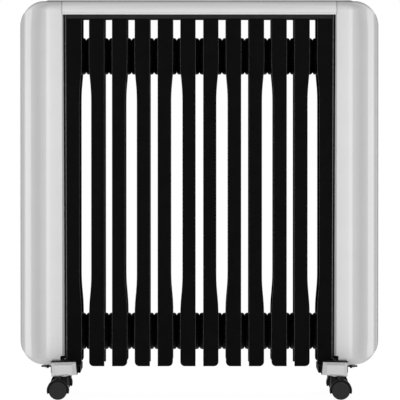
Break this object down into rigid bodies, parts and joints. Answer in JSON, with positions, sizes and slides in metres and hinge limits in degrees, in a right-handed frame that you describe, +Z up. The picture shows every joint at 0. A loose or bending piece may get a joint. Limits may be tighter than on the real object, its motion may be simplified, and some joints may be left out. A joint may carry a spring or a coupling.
{
  "type": "oil filled radiator heater",
  "caption": "Upright oil filled radiator heater: waisted black fins between light grey end covers, on steel feet with swivelling twin-wheel casters, and a recessed control panel.",
  "frame": {"origin": "on the floor, under the middle of the heater's bounding box", "axes": "+Z up, +X along the row of fins towards the end with the controls, -Y towards the front seen in the picture"},
  "size_m": [0.5836, 0.262, 0.6496],
  "materials": {
    "fin_paint": "satin black stove enamel on pressed steel",
    "cover_plastic": "light grey gloss moulded plastic",
    "panel_plastic": "grey moulded plastic",
    "black_steel": "black powder coat on pressed steel",
    "hood_plastic": "black moulded nylon",
    "wheel_plastic": "dark grey moulded nylon",
    "knob_plastic": "dark grey moulded plastic",
    "control_plastic": "black moulded plastic",
    "element_steel": "bare steel",
    "zinc": "zinc plated steel"
  },
  "bodies": {
    "radiator": {"caster_stems": "zinc", "control_panel": "control_plastic", "cord_gland": "control_plastic", "cover_screws": "zinc", "element_flange": "element_steel", "fill_plug": "element_steel", "fin_01": "fin_paint", "fin_02": "fin_paint", "fin_03": "fin_paint", "fin_04": "fin_paint", "fin_05": "fin_paint", "fin_06": "fin_paint", "fin_07": "fin_paint", "fin_08": "fin_paint", "fin_09": "fin_paint", "fin_10": "fin_paint", "fin_11": "fin_paint", "fin_12": "fin_paint", "foot_bolts": "zinc", "foot_nuts": "zinc", "front_left_foot_cap": "cover_plastic", "front_right_foot_cap": "cover_plastic", "heat_shield": "black_steel", "heating_element": "element_steel", "left_end_cover": "cover_plastic", "left_end_plate": "black_steel", "left_foot": "black_steel", "left_side_panel": "panel_plastic", "rear_left_foot_cap": "cover_plastic", "rear_right_foot_cap": "cover_plastic", "right_end_cover": "cover_plastic", "right_end_plate": "black_steel", "right_foot": "black_steel", "right_side_panel": "panel_plastic", "switch_housing": "control_plastic", "thermal_cutout": "element_steel", "thermostat_body": "control_plastic", "tip_over_switch": "control_plastic", "top_cover": "cover_plastic", "top_panel": "panel_plastic"},
    "front_left_swivel": {"front_left_caster_hood": "hood_plastic", "front_left_caster_axle": "zinc"},
    "front_left_front_roller": {"front_left_front_wheel": "wheel_plastic"},
    "front_left_rear_roller": {"front_left_rear_wheel": "wheel_plastic"},
    "front_right_swivel": {"front_right_caster_hood": "hood_plastic", "front_right_caster_axle": "zinc"},
    "front_right_front_roller": {"front_right_front_wheel": "wheel_plastic"},
    "front_right_rear_roller": {"front_right_rear_wheel": "wheel_plastic"},
    "rear_left_swivel": {"rear_left_caster_hood": "hood_plastic", "rear_left_caster_axle": "zinc"},
    "rear_left_front_roller": {"rear_left_front_wheel": "wheel_plastic"},
    "rear_left_rear_roller": {"rear_left_rear_wheel": "wheel_plastic"},
    "rear_right_swivel": {"rear_right_caster_hood": "hood_plastic", "rear_right_caster_axle": "zinc"},
    "rear_right_front_roller": {"rear_right_front_wheel": "wheel_plastic"},
    "rear_right_rear_roller": {"rear_right_rear_wheel": "wheel_plastic"},
    "thermostat_dial": {"thermostat_knob": "knob_plastic", "thermostat_shaft": "zinc"},
    "front_switch_rocker": {"front_rocker": "knob_plastic"},
    "rear_switch_rocker": {"rear_rocker": "knob_plastic"}
  },
  "joints": [
    {"name": "front_left_caster_turn", "type": "hinge", "parent": "radiator", "child": "front_left_swivel", "pos_m": [-0.219, -0.108, 0.034], "axis": [0, 0, 1], "continuous": true},
    {"name": "front_left_front_wheel_spin", "type": "hinge", "parent": "front_left_swivel", "child": "front_left_front_roller", "pos_m": [-0.2285, -0.108, 0.015], "axis": [0, 1, 0], "continuous": true},
    {"name": "front_left_rear_wheel_spin", "type": "hinge", "parent": "front_left_swivel", "child": "front_left_rear_roller", "pos_m": [-0.2285, -0.108, 0.015], "axis": [0, 1, 0], "continuous": true},
    {"name": "front_right_caster_turn", "type": "hinge", "parent": "radiator", "child": "front_right_swivel", "pos_m": [0.219, -0.108, 0.034], "axis": [0, 0, 1], "continuous": true},
    {"name": "front_right_front_wheel_spin", "type": "hinge", "parent": "front_right_swivel", "child": "front_right_front_roller", "pos_m": [0.2285, -0.108, 0.015], "axis": [0, 1, 0], "continuous": true},
    {"name": "front_right_rear_wheel_spin", "type": "hinge", "parent": "front_right_swivel", "child": "front_right_rear_roller", "pos_m": [0.2285, -0.108, 0.015], "axis": [0, 1, 0], "continuous": true},
    {"name": "rear_left_caster_turn", "type": "hinge", "parent": "radiator", "child": "rear_left_swivel", "pos_m": [-0.219, 0.108, 0.034], "axis": [0, 0, 1], "continuous": true},
    {"name": "rear_left_front_wheel_spin", "type": "hinge", "parent": "rear_left_swivel", "child": "rear_left_front_roller", "pos_m": [-0.2285, 0.108, 0.015], "axis": [0, 1, 0], "continuous": true},
    {"name": "rear_left_rear_wheel_spin", "type": "hinge", "parent": "rear_left_swivel", "child": "rear_left_rear_roller", "pos_m": [-0.2285, 0.108, 0.015], "axis": [0, 1, 0], "continuous": true},
    {"name": "rear_right_caster_turn", "type": "hinge", "parent": "radiator", "child": "rear_right_swivel", "pos_m": [0.219, 0.108, 0.034], "axis": [0, 0, 1], "continuous": true},
    {"name": "rear_right_front_wheel_spin", "type": "hinge", "parent": "rear_right_swivel", "child": "rear_right_front_roller", "pos_m": [0.2285, 0.108, 0.015], "axis": [0, 1, 0], "continuous": true},
    {"name": "rear_right_rear_wheel_spin", "type": "hinge", "parent": "rear_right_swivel", "child": "rear_right_rear_roller", "pos_m": [0.2285, 0.108, 0.015], "axis": [0, 1, 0], "continuous": true},
    {"name": "thermostat_turn", "type": "hinge", "parent": "radiator", "child": "thermostat_dial", "pos_m": [0.275, 0, 0.482], "axis": [-1, 0, 0], "range_deg": [0, 270]},
    {"name": "front_rocker_tilt", "type": "hinge", "parent": "radiator", "child": "front_switch_rocker", "pos_m": [0.2618, -0.0105, 0.55], "axis": [0, 1, 0], "range_deg": [0, 18]},
    {"name": "rear_rocker_tilt", "type": "hinge", "parent": "radiator", "child": "rear_switch_rocker", "pos_m": [0.2618, 0.0105, 0.55], "axis": [0, 1, 0], "range_deg": [0, 18]}
  ]
}
